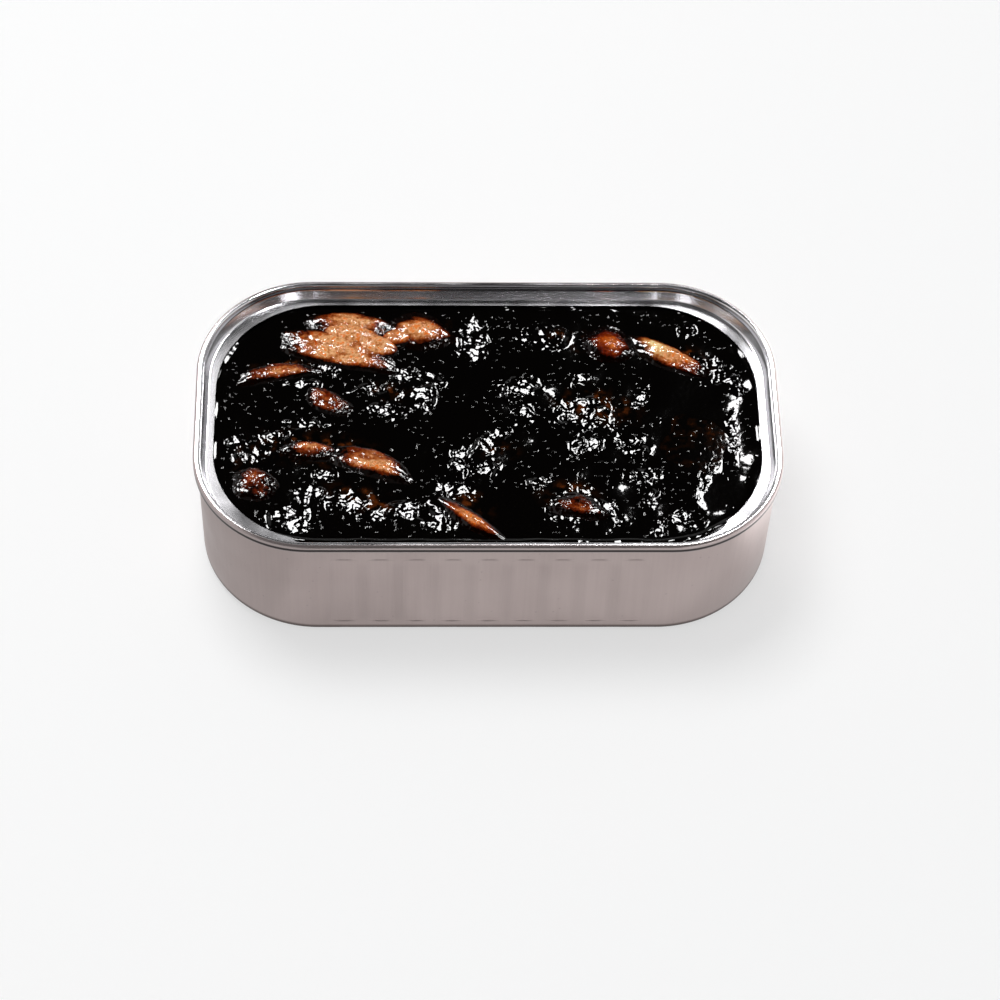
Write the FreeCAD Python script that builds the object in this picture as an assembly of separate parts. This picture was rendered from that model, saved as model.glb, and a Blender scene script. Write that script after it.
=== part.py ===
import FreeCAD, Part
import math
import os
from FreeCAD import Vector

# A small oblong fish tin, opened and full: squid pieces lying in black ink sauce.
#
# Frame: millimetres, +Z up, +X along the tin's long side, origin on the surface it stands
# on, under the middle of the tin.
#
# Nodes: tin_body (the drawn cup with its body hook), end_ring (what is left of the peeled
# lid: chuck wall, ledge and the hooks that lock it to the cup), ink_sauce (solid up to its
# uneven surface) and squid_01 onwards (the pieces that break that surface).

# ---- driving dimensions (mm) -----------------------------------------------------------
tin_length = 105.0            # over the double seam
tin_width = 60.0
tin_height = 27.5
rim_corner = 20.65            # outer corner radius of the seam

body_sheet = 0.22             # aluminium of the cup
end_sheet = 0.22              # aluminium of the lid
compound = 0.03               # sealing compound between the layers of the seam
seam_height = 2.1

hook_bend = 0.25              # centreline radius of the body hook and of the end hook
body_hook_gap = 0.12          # free space under the tip of the body hook
end_hook_gap = 0.12           # free space over the tip of the end hook

foot_corner_ease = 1.5        # the drawn corner is this much rounder at the foot
foot_edge = 1.7               # outside radius between wall and base

flute_pitch = 6.4             # shallow upright flutes pressed into the long walls
flute_width = 5.0
flute_depth = 0.2
flute_end_radius = 1.1        # how softly a flute runs out at its two ends
flute_top_gap = 2.4           # from the seam down to the flutes
flute_foot_gap = 2.6          # from the standing surface up to the flutes

stand_width = 4.2             # flat ring that the tin stands on, in from the foot edge
panel_rise = 0.7              # base panel, pressed up inside the standing ring
panel_corner_ease = 3.0
bead_width = 4.5              # second step, in from the first
bead_rise = 0.45
step_slope = 0.8              # how far each step leans inwards as it rises

chuck_straight = 1.2          # upright top of the chuck wall, under the seam's crown
chuck_depth = 3.0             # from the crown down to the top of the ledge
chuck_lean = 0.95             # how far the chuck wall leans inwards on its way down
chuck_foot_bend = 0.4
chuck_shoulder_bend = 1.5
score_inset = 3.4             # from the rim's outer face to the torn edge of the ledge
score_corner_ease = 1.1       # the torn opening's corners are tighter than the rim's
score_drop = 0.12             # the ledge dips a little towards the torn edge

ink_below_ledge = 0.45        # from the underside of the ledge to the still ink
ink_swell = 1.15              # height of the largest lumps over the still ink
ink_lumps = 84                # how many lumps are spread over the surface
ink_lump_narrow = 1.7         # spread of the smallest lump and of the largest
ink_lump_broad = 3.6
ink_grid = 1.9                # spacing of the points that the surface goes through
ink_edge_calm = 3.5           # the surface settles to its still level over this distance
headroom_clearance = 0.25     # contents stay this far from the torn edge

# ---- sizes that follow -----------------------------------------------------------------
crown_radius = hook_bend + body_sheet / 2 + compound + end_sheet
end_wall_inset = end_sheet / 2
body_hook_inset = end_sheet + compound + body_sheet / 2
body_wall_inset = body_hook_inset + 2 * hook_bend
end_hook_inset = crown_radius
chuck_inset = 2 * crown_radius - end_sheet / 2
seam_foot = tin_height - seam_height

wall_inset = body_wall_inset - body_sheet / 2
body_length = tin_length - 2 * wall_inset
body_width = tin_width - 2 * wall_inset
body_corner = rim_corner - wall_inset
foot_corner = body_corner + foot_corner_ease

ledge_top = tin_height - chuck_depth
ledge_foot = ledge_top - end_sheet - score_drop
opening_length = tin_length - 2 * score_inset
opening_width = tin_width - 2 * score_inset
opening_corner = rim_corner - score_corner_ease
ink_level = ledge_foot - ink_below_ledge

ledge_span = rim_corner / 4   # lid left for the tear to cut, in from the chuck wall's foot
tiny = 1e-6
overshoot = 1.0               # cutting tools run this far past what they cut

# The pieces of squid: place as shares of the torn opening's half length and half width,
# heading in degrees from +X, then length, width, thickness, rise over the still ink and
# sideways bow, all in mm. A later piece gives way to those before it.
squid_pieces = [
    (-0.550, 0.612, -17.0, 34.0, 10.0, 8.5, 1.30, 1.2),
    (-0.505, 0.835, -5.0, 25.0, 8.0, 7.0, 1.15, 0.8),
    (-0.250, 0.780, -14.0, 19.0, 12.0, 8.0, 1.15, 0.9),
    (-0.770, 0.425, 9.0, 24.0, 5.4, 6.0, 0.90, 2.6),
    (-0.585, 0.170, -30.0, 14.5, 6.6, 6.0, 0.90, -1.1),
    (-0.420, -0.355, -22.0, 22.5, 7.6, 7.0, 1.25, 1.7),
    (-0.648, -0.245, -6.0, 15.0, 6.0, 6.0, 1.00, 0.7),
    (-0.845, -0.520, -24.0, 12.0, 9.5, 7.0, 1.10, 0.5),
    (-0.065, -0.815, -39.0, 22.0, 5.0, 5.5, 0.85, -0.8),
    (0.334, -0.712, -21.0, 16.5, 8.0, 7.0, 0.90, 0.8),
    (0.465, 0.665, -33.0, 15.5, 12.5, 8.0, 1.00, 0.7),
    (0.680, 0.565, -31.0, 23.0, 6.8, 6.5, 1.20, -1.0),
    (0.760, -0.190, -36.0, 32.0, 20.0, 9.0, 0.55, 1.5),
]
# Where the ink lies still: place as shares of the opening's half sizes, and radius in mm.
still_pools = [(0.16, -0.78, 7.5), (0.86, -0.60, 6.0), (0.74, -0.16, 9.0)]

squid_sections = 9            # cross-sections along a piece
squid_section_points = 14     # points round each of them
squid_tip = 0.05              # share of a piece's length where its end sections sit
squid_fullness = 0.55         # below 1 the piece stays thick towards its ends
squid_flatness = 0.08         # flatter above and below than an ellipse
squid_fold = 0.045            # depth of the lengthwise folds, as a share of the radius


# ---- helpers ---------------------------------------------------------------------------
def rounded_wire(length, width, corner, z):
    """Rounded rectangle centred on the frame, at height z."""
    x, y = length / 2 - corner, width / 2 - corner
    edges = []
    for cx, cy, start in ((x, y, 0), (-x, y, 90), (-x, -y, 180), (x, -y, 270)):
        edges.append(Part.makeCircle(corner, Vector(cx, cy, z), Vector(0, 0, 1), start, start + 90))
    sides = []
    for arc, following in zip(edges, edges[1:] + edges[:1]):
        sides.append(Part.LineSegment(arc.Vertexes[-1].Point, following.Vertexes[0].Point).toShape())
    return Part.Wire([edge for pair in zip(edges, sides) for edge in pair])


def rounded_block(length, width, corner, z_low, z_high):
    """Upright prism on a rounded rectangle."""
    face = Part.Face(rounded_wire(length, width, corner, z_low))
    return face.extrude(Vector(0, 0, z_high - z_low))


def largest(shape):
    """The largest solid of a shape, without the slivers that a cut can leave."""
    return max(shape.Solids, key=lambda solid: solid.Volume)


def leaning_block(low, high, z_low, z_high):
    """Block between two rounded rectangles, each (length, width, corner)."""
    wires = [rounded_wire(*low, z_low), rounded_wire(*high, z_high)]
    return Part.makeLoft(wires, True, True)


def inset_rectangle(inset, corner_ease=0.0):
    """Length, width and corner of the body's outline moved in by inset."""
    corner = body_corner - inset + corner_ease
    return body_length - 2 * inset, body_width - 2 * inset, corner


def bent_strip(path, bends, thickness, place):
    """Face of a strip of sheet bent along path, a list of (inset, z) points.

    bends holds the centreline radius at each inner point; place turns (inset, z) into a
    point of the model.
    """
    runs = list(zip(path, path[1:]))
    ways = []
    for (x0, z0), (x1, z1) in runs:
        span = math.hypot(x1 - x0, z1 - z0)
        ways.append(((x1 - x0) / span, (z1 - z0) / span))

    def side(offset):
        edges = []
        start = (path[0][0] - ways[0][1] * offset, path[0][1] + ways[0][0] * offset)
        for corner, bend, before, after in zip(path[1:], bends, ways, ways[1:]):
            turn = math.atan2(before[0] * after[1] - before[1] * after[0],
                              before[0] * after[0] + before[1] * after[1])
            reach = bend * math.tan(abs(turn) / 2)
            left = math.copysign(1.0, turn)
            touch = (corner[0] - before[0] * reach, corner[1] - before[1] * reach)
            centre = (touch[0] - before[1] * bend * left, touch[1] + before[0] * bend * left)
            radius = bend - left * offset
            points = []
            for share in (0.0, 0.5, 1.0):
                angle = math.atan2(before[0], -before[1]) + (math.pi if left > 0 else 0.0)
                angle += turn * share
                points.append((centre[0] + radius * math.cos(angle),
                               centre[1] + radius * math.sin(angle)))
            if math.dist(start, points[0]) > tiny:
                edges.append(Part.LineSegment(place(*start), place(*points[0])).toShape())
            edges.append(Part.Arc(*[place(*point) for point in points]).toShape())
            start = points[2]
        end = (path[-1][0] - ways[-1][1] * offset, path[-1][1] + ways[-1][0] * offset)
        edges.append(Part.LineSegment(place(*start), place(*end)).toShape())
        return edges

    left_edges, right_edges = side(thickness / 2), side(-thickness / 2)
    caps = []
    for end in (0, -1):
        way = ways[end]
        ends = [(path[end][0] - way[1] * offset, path[end][1] + way[0] * offset)
                for offset in (thickness / 2, -thickness / 2)]
        caps.append(Part.LineSegment(place(*ends[0]), place(*ends[1])).toShape())
    wire = Part.Wire(Part.__sortEdges__(left_edges + right_edges + caps))
    return Part.Face(wire)


def carried_round_rim(path, bends, thickness):
    """Sheet section carried round the whole rim: quarter turns joined by straight runs."""
    x, y = tin_length / 2 - rim_corner, tin_width / 2 - rim_corner
    pieces = []
    for cx, cy, start, run in ((x, y, 0, 2 * x), (-x, y, 90, 2 * y),
                               (-x, -y, 180, 2 * x), (x, -y, 270, 2 * y)):
        for angle, turned in ((start, True), (start + 90, False)):
            c, s = math.cos(math.radians(angle)), math.sin(math.radians(angle))

            def place(inset, z):
                return Vector(cx + (rim_corner - inset) * c, cy + (rim_corner - inset) * s, z)

            face = bent_strip(path, bends, thickness, place)
            if turned:
                pieces.append(face.revolve(Vector(cx, cy, 0), Vector(0, 0, 1), 90))
            else:
                pieces.append(face.extrude(Vector(-s, c, 0) * run))
    return pieces[0].multiFuse(pieces[1:]).removeSplitter()


# ---- the drawn cup ---------------------------------------------------------------------
def flutes(growth):
    """Round bars that press the flutes into both long walls, thicker by growth."""
    radius = (flute_width ** 2 / 4 + flute_depth ** 2) / (2 * flute_depth)
    straight = body_length - 2 * foot_corner
    count = int(straight // flute_pitch)
    low, high = flute_foot_gap - growth, seam_foot - flute_top_gap + growth
    bars = []
    for index in range(count):
        x = (index - (count - 1) / 2) * flute_pitch
        for side in (-1, 1):
            y = side * (body_width / 2 + radius - flute_depth)
            bar = Part.makeCylinder(radius + growth, high - low, Vector(x, y, low))
            rims = [edge for edge in bar.Edges if isinstance(edge.Curve, Part.Circle)]
            bars.append(bar.makeFillet(flute_end_radius + growth, rims))
    return bars


def base_steps(growth):
    """Blocks that press the panel and its inner bead up into the base."""
    first_inset = foot_edge + stand_width
    blocks = []
    z = -overshoot
    for inset, rise in ((first_inset, panel_rise), (first_inset + bead_width, panel_rise + bead_rise)):
        lean = step_slope * (rise - z) / panel_rise
        low = inset_rectangle(inset - growth - lean + step_slope, panel_corner_ease)
        high = inset_rectangle(inset - growth + step_slope, panel_corner_ease)
        blocks.append(leaning_block(low, high, z, rise + growth))
    return blocks


def pressed_cup(growth):
    """The cup's block: growth 0 gives its outside, the sheet's thickness its inside."""
    low = inset_rectangle(growth, foot_corner_ease)
    high = inset_rectangle(growth)
    block = leaning_block(low, high, growth, seam_foot)
    foot = [edge for edge in block.Edges if abs(edge.BoundBox.ZMax - growth) < tiny]
    block = block.makeFillet(foot_edge - growth, foot)
    for tool in flutes(growth) + base_steps(growth):
        block = block.cut(tool)
    return block


def tin_body():
    """The drawn cup, ending in the body hook that turns out and down inside the seam."""
    shell = pressed_cup(0.0).cut(pressed_cup(body_sheet))
    crown = tin_height - crown_radius + hook_bend
    hook_tip = seam_foot + end_sheet + body_hook_gap + compound
    flange = [(body_wall_inset, seam_foot), (body_wall_inset, crown),
              (body_hook_inset, crown), (body_hook_inset, hook_tip)]
    hook = carried_round_rim(flange, [hook_bend, hook_bend], body_sheet)
    return shell.fuse(hook).removeSplitter()


# ---- what is left of the lid -----------------------------------------------------------
def end_ring():
    """End hook, seam wall, crown, chuck wall and the ledge up to the torn score line."""
    foot = seam_foot + end_sheet / 2
    crown = tin_height - end_sheet / 2
    crown_bend = crown_radius - end_sheet / 2
    hook_tip = tin_height - crown_radius - end_hook_gap
    ledge = ledge_top - end_sheet / 2
    chuck_foot = chuck_inset + chuck_lean
    path = [(end_hook_inset, hook_tip), (end_hook_inset, foot), (end_wall_inset, foot),
            (end_wall_inset, crown), (chuck_inset, crown),
            (chuck_inset, tin_height - chuck_straight), (chuck_foot, ledge),
            (chuck_foot + ledge_span, ledge - score_drop)]
    bends = [hook_bend, hook_bend, crown_bend, crown_bend, chuck_shoulder_bend, chuck_foot_bend]
    ring = carried_round_rim(path, bends, end_sheet)
    torn = rounded_block(opening_length, opening_width, opening_corner,
                         ledge_foot - overshoot, tin_height)
    return ring.cut(torn)


# ---- the contents ----------------------------------------------------------------------
def ledge_guard():
    """The ring of space kept free round the ledge and above it, up to the torn opening."""
    low = ledge_foot - headroom_clearance
    block = rounded_block(tin_length, tin_width, rim_corner, low, tin_height)
    mouth = rounded_block(opening_length - 2 * headroom_clearance,
                          opening_width - 2 * headroom_clearance,
                          opening_corner - headroom_clearance, low, tin_height)
    return block.cut(mouth)


def lump_list():
    """Lumps spread evenly but without order, none in a pool: (x, y, height, spread)."""
    lumps = []
    for index in range(ink_lumps):
        share_x = (index * 0.6180 + 0.31) % 1.0 * 2 - 1
        share_y = (index * 0.7549 + 0.17) % 1.0 * 2 - 1
        x, y = share_x * opening_length / 2, share_y * opening_width / 2
        size = (index * 0.4142 + 0.5) % 1.0
        spread = ink_lump_narrow + (ink_lump_broad - ink_lump_narrow) * size
        room = min(math.hypot(x - pool_x * opening_length / 2, y - pool_y * opening_width / 2)
                   - radius for pool_x, pool_y, radius in still_pools)
        if room > 0:
            lumps.append((x, y, ink_swell * (0.4 + 0.6 * size), spread))
    return lumps


def ink_height(x, y, lumps):
    """Height of the ink at a place: still level, raised by lumps away from the rim."""
    swell = math.sqrt(sum((height * math.exp(-math.hypot(x - lx, y - ly) ** 2 / spread ** 2)) ** 2
                          for lx, ly, height, spread in lumps))
    past_x = abs(x) - (opening_length / 2 - opening_corner)
    past_y = abs(y) - (opening_width / 2 - opening_corner)
    past_corner = math.hypot(max(past_x, 0.0), max(past_y, 0.0))
    to_edge = opening_corner - past_corner - min(max(past_x, past_y), 0.0)
    calm = min(max(to_edge / ink_edge_calm, 0.0), 1.0)
    return ink_level + swell * calm * calm * (3 - 2 * calm)


def below_ink_surface():
    """Block that ends in the ink's uneven surface."""
    lumps = lump_list()
    columns = math.ceil(tin_length / ink_grid)
    rows = math.ceil(tin_width / ink_grid)
    grid = []
    for column in range(columns + 1):
        x = tin_length * (column / columns - 0.5)
        line = []
        for row in range(rows + 1):
            y = tin_width * (row / rows - 0.5)
            line.append(Vector(x, y, ink_height(x, y, lumps)))
        grid.append(line)
    surface = Part.BSplineSurface()
    surface.interpolate(grid)
    return surface.toShape().extrude(Vector(0, 0, -tin_height))


def squid_piece(x, y, heading, length, width, thickness, rise, bow):
    """A piece of mantle: folded oval sections set along a gently bowed line."""
    turn = math.radians(heading)
    ahead = Vector(math.cos(turn), math.sin(turn), 0)
    aside = Vector(-math.sin(turn), math.cos(turn), 0)
    centre = Vector(x, y, ink_level + rise - thickness / 2 * (1 - squid_flatness))
    wires = []
    for index in range(squid_sections):
        share = squid_tip + (1 - 2 * squid_tip) * index / (squid_sections - 1)
        full = math.sin(math.pi * share) ** squid_fullness
        taper = 1.0 + 0.12 * math.cos(math.pi * share)
        middle = centre + ahead * (length * (share - 0.5)) + aside * (bow * (full - 1))
        points = []
        for step in range(squid_section_points):
            angle = 2 * math.pi * step / squid_section_points
            radius = 1 - squid_flatness * math.sin(angle) ** 4
            radius += squid_fold * math.sin(5 * angle + 2.5 * share + heading)
            across = aside * (width / 2 * full * taper * radius * math.cos(angle))
            upward = Vector(0, 0, thickness / 2 * full * radius * math.sin(angle))
            points.append(middle + across + upward)
        curve = Part.BSplineCurve()
        curve.interpolate(points, PeriodicFlag=True)
        wires.append(Part.Wire(curve.toShape()))
    return Part.makeLoft(wires, True, False)


def contents():
    """The squid pieces, then the ink cut round them, as (node, solid) pairs."""
    inside = pressed_cup(body_sheet)
    guard = ledge_guard()
    nodes = []
    for number, (share_x, share_y, *form) in enumerate(squid_pieces, start=1):
        piece = squid_piece(share_x * opening_length / 2, share_y * opening_width / 2, *form)
        piece = piece.common(inside).cut(guard)
        for _, earlier in nodes:
            if piece.BoundBox.intersect(earlier.BoundBox):
                piece = piece.cut(earlier)
        nodes.append(("squid_%02d" % number, largest(piece)))
    ink = inside.common(below_ink_surface())
    for _, piece in nodes:
        ink = ink.cut(piece)
    nodes.append(("ink_sauce", largest(ink)))
    return nodes


# ---- build -----------------------------------------------------------------------------
def main():
    os.makedirs("parts", exist_ok=True)
    nodes = [("tin_body", tin_body()), ("end_ring", end_ring())] + contents()
    for name, shape in nodes:
        solids = shape.Solids
        box = shape.BoundBox
        print("%-10s solids %d valid %s volume %.1f  z %.2f to %.2f"
              % (name, len(solids), shape.isValid(), shape.Volume, box.ZMin, box.ZMax))
        shape.exportStep("parts/%s.step" % name)


main()
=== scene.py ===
# %% [markdown]
# # A small oblong tin of squid in black ink
# The real thing is a drawn aluminium cup with the ring of its peeled lid still locked to
# it, filled to just under the rim with squid pieces in a thick black sauce. The two metal
# parts come from the frame as they are. The sauce and the squid are soft, wet and uneven,
# so they are modelled here, each in the space that its solid holds.

# %% Load the frame
import math

import bpy
import numpy as np
from mathutils import Matrix, Vector, noise
from mathutils.bvhtree import BVHTree


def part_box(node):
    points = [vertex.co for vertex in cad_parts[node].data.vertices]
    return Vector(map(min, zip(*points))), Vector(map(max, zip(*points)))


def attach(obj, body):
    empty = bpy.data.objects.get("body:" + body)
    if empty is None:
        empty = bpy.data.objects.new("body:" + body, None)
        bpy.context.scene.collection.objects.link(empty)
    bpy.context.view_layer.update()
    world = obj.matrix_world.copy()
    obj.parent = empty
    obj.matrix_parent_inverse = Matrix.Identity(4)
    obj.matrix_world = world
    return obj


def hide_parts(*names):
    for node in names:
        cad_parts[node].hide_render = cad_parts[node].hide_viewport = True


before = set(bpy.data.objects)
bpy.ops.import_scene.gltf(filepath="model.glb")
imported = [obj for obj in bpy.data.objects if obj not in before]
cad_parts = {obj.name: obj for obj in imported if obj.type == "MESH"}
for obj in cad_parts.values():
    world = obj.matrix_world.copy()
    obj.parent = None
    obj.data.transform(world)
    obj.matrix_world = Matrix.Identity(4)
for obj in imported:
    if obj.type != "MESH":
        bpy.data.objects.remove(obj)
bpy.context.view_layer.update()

print("nodes:", ", ".join(sorted(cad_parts)))

# %% [markdown]
# ## Sizes read from the frame
# The opening and the level of the sauce are worked out from the boxes of the solids and a few given
# distances. The lowest point of the lid's ring is the underside of its ledge, and the still sauce lies a
# little under it. The sauce's own box gives the inside of the cup.

# %% Sizes
mm = 0.001
rim_low, rim_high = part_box("end_ring")
sauce_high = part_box("ink_sauce")[1]
rim_corner = 20.65 * mm             # outer corner radius of the ring
rim_to_opening = 3.4 * mm           # from the ring's outer side in to the torn edge
opening_tighter = 1.1 * mm          # how much smaller the corner radius is at the torn edge
ink_under_ledge = 0.52 * mm         # from the ledge's underside down to the still sauce
opening_x, opening_y = rim_high.x - rim_to_opening, rim_high.y - rim_to_opening
opening_corner = rim_corner - opening_tighter
ink_level = rim_low.z - ink_under_ledge
print("opening, mm: %.1f x %.1f, sauce level %.2f"
      % (opening_x * 2000, opening_y * 2000, ink_level * 1000))

# %% [markdown]
# ## The camera
# The tin is seen from the front and well above, with a long lens and a slight roll, so
# that its long side runs almost level through the picture. A camera could be turned until
# it looks right. Here its three axes are worked out from two angles and the roll, which
# leaves each of them to be changed by itself.

# %% Camera
camera_elevation = math.radians(54.106)
camera_azimuth = math.radians(-3.217)
camera_roll = math.radians(2.651)
camera_distance = 0.589             # in metres
camera_aim = (2.868 * mm, 0.055 * mm)
camera_lens = 113.82                # in mm

camera_back = Vector((math.sin(camera_azimuth) * math.cos(camera_elevation),
                      -math.cos(camera_azimuth) * math.cos(camera_elevation),
                      math.sin(camera_elevation)))
level_right = Vector((math.cos(camera_azimuth), math.sin(camera_azimuth), 0.0))
level_up = camera_back.cross(level_right)
camera_right = level_right * math.cos(camera_roll) + level_up * math.sin(camera_roll)
camera_up = level_up * math.cos(camera_roll) - level_right * math.sin(camera_roll)

bpy.ops.object.select_all(action="DESELECT")
bpy.ops.object.camera_add(location=camera_back * camera_distance
                          + level_right * camera_aim[0] + level_up * camera_aim[1])
camera = bpy.context.object
camera.name = "camera"
camera.rotation_euler = Matrix((camera_right, camera_up, camera_back)).transposed().to_euler()
camera.data.sensor_width = 36.0
camera.data.lens = camera_lens
bpy.context.scene.camera = camera
print("camera at", [round(value, 3) for value in camera.location])

# %% [markdown]
# ## Nodes in code
# A finish is a chain of small nodes. Wired one by one in the node editor, it would be a
# long list of the same few steps, so each step gets a short helper: it adds a node, feeds
# it with sockets or plain numbers, and hands back its output for the next one.

# %% Node helpers
def add_node(tree, kind, settings=None, **values):
    """A node with its settings and the constants of its input sockets."""
    node = tree.nodes.new(kind)
    for setting, value in (settings or {}).items():
        setattr(node, setting, value)
    for socket, value in values.items():
        node.inputs[socket.replace("_", " ")].default_value = value
    return node


def calculate(tree, operation, *values):
    """The result of a maths node on sockets and plain numbers."""
    node = add_node(tree, "ShaderNodeMath", {"operation": operation})
    for socket, value in zip(node.inputs, values):
        if isinstance(value, float):
            socket.default_value = value
        else:
            tree.links.new(value, socket)
    return node.outputs[0]


def ramp(tree, value, stops, interpolation="LINEAR"):
    """A value sent through a ramp of (position, grey or colour) stops."""
    node = tree.nodes.new("ShaderNodeValToRGB")
    node.color_ramp.interpolation = interpolation
    elements = node.color_ramp.elements
    while len(elements) < len(stops):
        elements.new(0.5)
    for element, (position, colour) in zip(elements, stops):
        element.position = position
        shade = colour if isinstance(colour, tuple) else (colour,) * 3
        element.color = (*shade, 1.0)
    tree.links.new(value, node.inputs[0])
    return node.outputs[0]


def mix(tree, amount, first, second, blend="MIX"):
    """Two colours mixed by an amount; each of the three is a socket or a constant."""
    node = add_node(tree, "ShaderNodeMix", {"data_type": "RGBA", "blend_type": blend})
    for index, value in zip((0, 6, 7), (amount, first, second)):
        if isinstance(value, float):
            node.inputs[index].default_value = value
        elif isinstance(value, tuple):
            node.inputs[index].default_value = (*value, 1.0)
        else:
            tree.links.new(value, node.inputs[index])
    return node.outputs[2]


def empty_finish(name):
    """A new material with no nodes in it yet, and its node tree."""
    finish = bpy.data.materials.new(name)
    finish.use_nodes = True
    finish.node_tree.nodes.clear()
    return finish, finish.node_tree


def solid_finish(name):
    """A new material, its node tree, its shader and a node for the object's own places."""
    finish = bpy.data.materials.new(name)
    finish.use_nodes = True
    tree = finish.node_tree
    return finish, tree, tree.nodes["Principled BSDF"], tree.nodes.new("ShaderNodeTexCoord")


# %% [markdown]
# ## The floor
# The tin stands on a plain pale floor. A white sheet under enough light to look white would
# burn out the tin, so part of the floor's white shows by itself, to the camera and in what
# shines, and the rest is a matt white that keeps the tin's shadow.

# %% Floor
def seen_directly(tree):
    """A value that is 1 for rays from the camera and for those that metal and glass send."""
    rays = tree.nodes.new("ShaderNodeLightPath")
    either = calculate(tree, "MAXIMUM", rays.outputs["Is Camera Ray"], rays.outputs["Is Glossy Ray"])
    return calculate(tree, "MAXIMUM", either, rays.outputs["Is Transmission Ray"])


def join_shaders(tree, amount, first, second, output):
    """Mix two shaders by an amount and send them to an output's surface."""
    joined = tree.nodes.new("ShaderNodeMixShader")
    tree.links.new(amount, joined.inputs["Fac"])
    tree.links.new(first.outputs[0], joined.inputs[1])
    tree.links.new(second.outputs[0], joined.inputs[2])
    tree.links.new(joined.outputs[0], output.inputs["Surface"])


def floor_finish(paleness):
    """Pale floor that looks nearly white but keeps part of each shadow."""
    finish, tree = empty_finish("pale_floor")
    matt = add_node(tree, "ShaderNodeBsdfDiffuse", Color=(0.95, 0.95, 0.95, 1.0))
    white = tree.nodes.new("ShaderNodeEmission")
    output = tree.nodes.new("ShaderNodeOutputMaterial")
    share = calculate(tree, "MULTIPLY", seen_directly(tree), paleness)
    join_shaders(tree, share, matt, white, output)
    return finish


floor_size = 6.0
floor_drop = 0.01 * mm              # under the tin, so that the two never share a face
floor_paleness = 0.6
bpy.ops.object.select_all(action="DESELECT")
bpy.ops.mesh.primitive_plane_add(size=floor_size, location=(0.0, 0.0, -floor_drop))
floor = bpy.context.object
floor.name = "floor"
floor.data.materials.append(floor_finish(floor_paleness))
print("floor:", floor_size, "m wide")


# %% [markdown]
# ## Dark and pale cards
# Polished metal and black liquid show only what they mirror. As round a real tin in a
# studio, large cards stand where nobody sees them: black ones behind and overhead, so that
# the level sauce stays black, dark grey ones behind the camera, and paler ones on the floor
# that set how bright the upright wall is. They show in reflections alone and take no part
# in the light. One card for all would give the metal no shape.

# %% Cards
def card_finish(name, brightness):
    """A card that gives one even brightness and takes no light."""
    finish, tree = empty_finish(name)
    glow = add_node(tree, "ShaderNodeEmission", Strength=brightness)
    output = tree.nodes.new("ShaderNodeOutputMaterial")
    tree.links.new(glow.outputs[0], output.inputs["Surface"])
    return finish


def add_card(name, place, facing, width, height, brightness, turn=0.0):
    """A card of even brightness that shows in reflections alone."""
    bpy.ops.object.select_all(action="DESELECT")
    bpy.ops.mesh.primitive_plane_add(size=1.0, location=place)
    card = bpy.context.object
    card.name = name
    card.rotation_euler = Vector(facing).to_track_quat("Z", "Y").to_euler()
    card.rotation_euler.z += math.radians(turn)
    card.scale = (width, height, 1.0)
    card.data.materials.append(card_finish(name, brightness))
    card.visible_camera = False
    card.visible_diffuse = False
    card.visible_transmission = False
    card.visible_volume_scatter = False
    card.visible_shadow = False
    print(name, "brightness", brightness)


def hang_card(name, direction, width, height, brightness):
    """A card that hangs in a direction from the tin and faces it."""
    way = Vector(direction).normalized()
    add_card(name, way * card_distance, way, width, height, brightness)


def lay_card(name, place, width, height, brightness, turn=0.0):
    """A card that lies just over the floor and faces up."""
    add_card(name, place, (0, 0, 1), width, height, brightness, turn)


# sizes in metres; a brightness of 1 is white
card_distance = 2.4
hang_card("back_card", (0.08, 0.585, 0.81), 4.3, 3.3, 0.0)
hang_card("top_card", (0.0, -0.30, 0.95), 4.8, 2.0, 0.0)
hang_card("front_card", (0.0, -0.86, 0.51), 5.6, 2.2, 0.22)
hang_card("low_front_card", (0.0, -1.0, 0.05), 5.6, 0.7, 0.02)
lay_card("front_floor_card", (-1.0, -1.807, 0.2 * mm), 4.0, 4.0, 0.10, -30.0)
lay_card("left_floor_card", (-0.545, 0.27, 0.3 * mm), 1.01, 1.36, 0.70)
lay_card("right_floor_card", (0.562, 0.26, 0.3 * mm), 1.0, 1.0, 2.1)
lay_card("near_floor_card", (0.062, -0.0535, 0.4 * mm), 0.15, 0.044, 0.88)


# %% [markdown]
# ## Lamps
# Bright lamps, mirrored but not otherwise felt, stand behind and over the tin, just off the
# way in which the level sauce mirrors the camera. So every lump that tips a little flashes
# white, while the still pools stay black. A broad soft lamp lights the flesh and the floor
# and isn't mirrored. One lamp for both would wash the sauce out before the flesh is lit.

# %% Lamps
def add_lamp(name, direction, distance, width, height, radiance, mirrored):
    """A lamp that faces the tin and is either mirrored by it or lights its colours."""
    way = Vector(direction).normalized()
    bpy.ops.object.select_all(action="DESELECT")
    bpy.ops.object.light_add(type="AREA", location=way * distance)
    lamp = bpy.context.object
    lamp.name = name
    lamp.rotation_euler = way.to_track_quat("Z", "Y").to_euler()
    lamp.data.shape = "RECTANGLE"
    lamp.data.size = width
    lamp.data.size_y = height
    lamp.data.energy = radiance * math.pi * width * height
    lamp.visible_camera = False
    lamp.visible_glossy = mirrored
    lamp.visible_diffuse = not mirrored
    print(name, "%.2f W" % lamp.data.energy)


glint_distance = 2.0
glint_radiance = 85.0
add_lamp("lamp_back_left", (-0.354, 0.553, 0.766), glint_distance, 0.42, 0.50, glint_radiance, True)
add_lamp("lamp_back_right", (0.298, 0.553, 0.766), glint_distance, 0.40, 0.50, glint_radiance, True)
add_lamp("lamp_high", (0.20, 0.12, 0.97), glint_distance, 0.22, 0.22, glint_radiance, True)
add_lamp("lamp_soft", (-0.22, 0.30, 0.93), 0.80, 0.36, 0.36, 9.0, False)

# %% [markdown]
# ## The room
# The background is white to look at and in the metal, but as a light it is only a weak
# fill. One brightness for both would flatten every shadow.

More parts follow.
